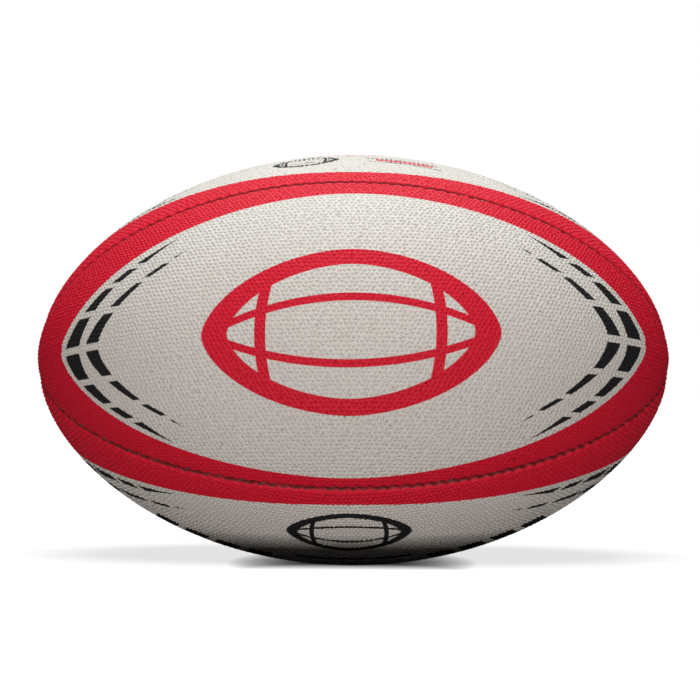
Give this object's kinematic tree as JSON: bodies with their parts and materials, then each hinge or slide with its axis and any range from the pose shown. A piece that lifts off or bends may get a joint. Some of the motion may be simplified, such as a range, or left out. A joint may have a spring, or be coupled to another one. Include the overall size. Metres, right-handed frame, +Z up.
{
  "type": "rugby ball",
  "caption": "Oval inflatable ball: stitched pimpled-rubber panels on cloth backing round a bladder, with a needle valve in the back panel.",
  "frame": {"origin": "centre of the ball, halfway between the tips on the long axis", "axes": "+X along the long axis, -Y the way the front panel faces, +Z up as the ball lies on its side"},
  "size_m": [0.295, 0.1908, 0.1908],
  "materials": {
    "grip_rubber": "matt moulded pimples with printed borders",
    "backing_cloth": "plain woven polyester-cotton, rubberised",
    "waxed_thread": "twisted, waxed",
    "bladder_rubber": "smooth, dusted",
    "valve_rubber": "satin moulded"
  },
  "bodies": {
    "root": {"front_panel": "grip_rubber", "top_panel": "grip_rubber", "back_panel": "grip_rubber", "bottom_panel": "grip_rubber", "front_ply_1": "backing_cloth", "front_ply_2": "backing_cloth", "front_ply_3": "backing_cloth", "top_ply_1": "backing_cloth", "top_ply_2": "backing_cloth", "top_ply_3": "backing_cloth", "back_ply_1": "backing_cloth", "back_ply_2": "backing_cloth", "back_ply_3": "backing_cloth", "bottom_ply_1": "backing_cloth", "bottom_ply_2": "backing_cloth", "bottom_ply_3": "backing_cloth", "front_top_thread": "waxed_thread", "top_back_thread": "waxed_thread", "back_bottom_thread": "waxed_thread", "bottom_front_thread": "waxed_thread", "bladder": "bladder_rubber", "valve_patch": "bladder_rubber", "valve_housing": "valve_rubber", "valve_core": "valve_rubber"}
  },
  "joints": []
}
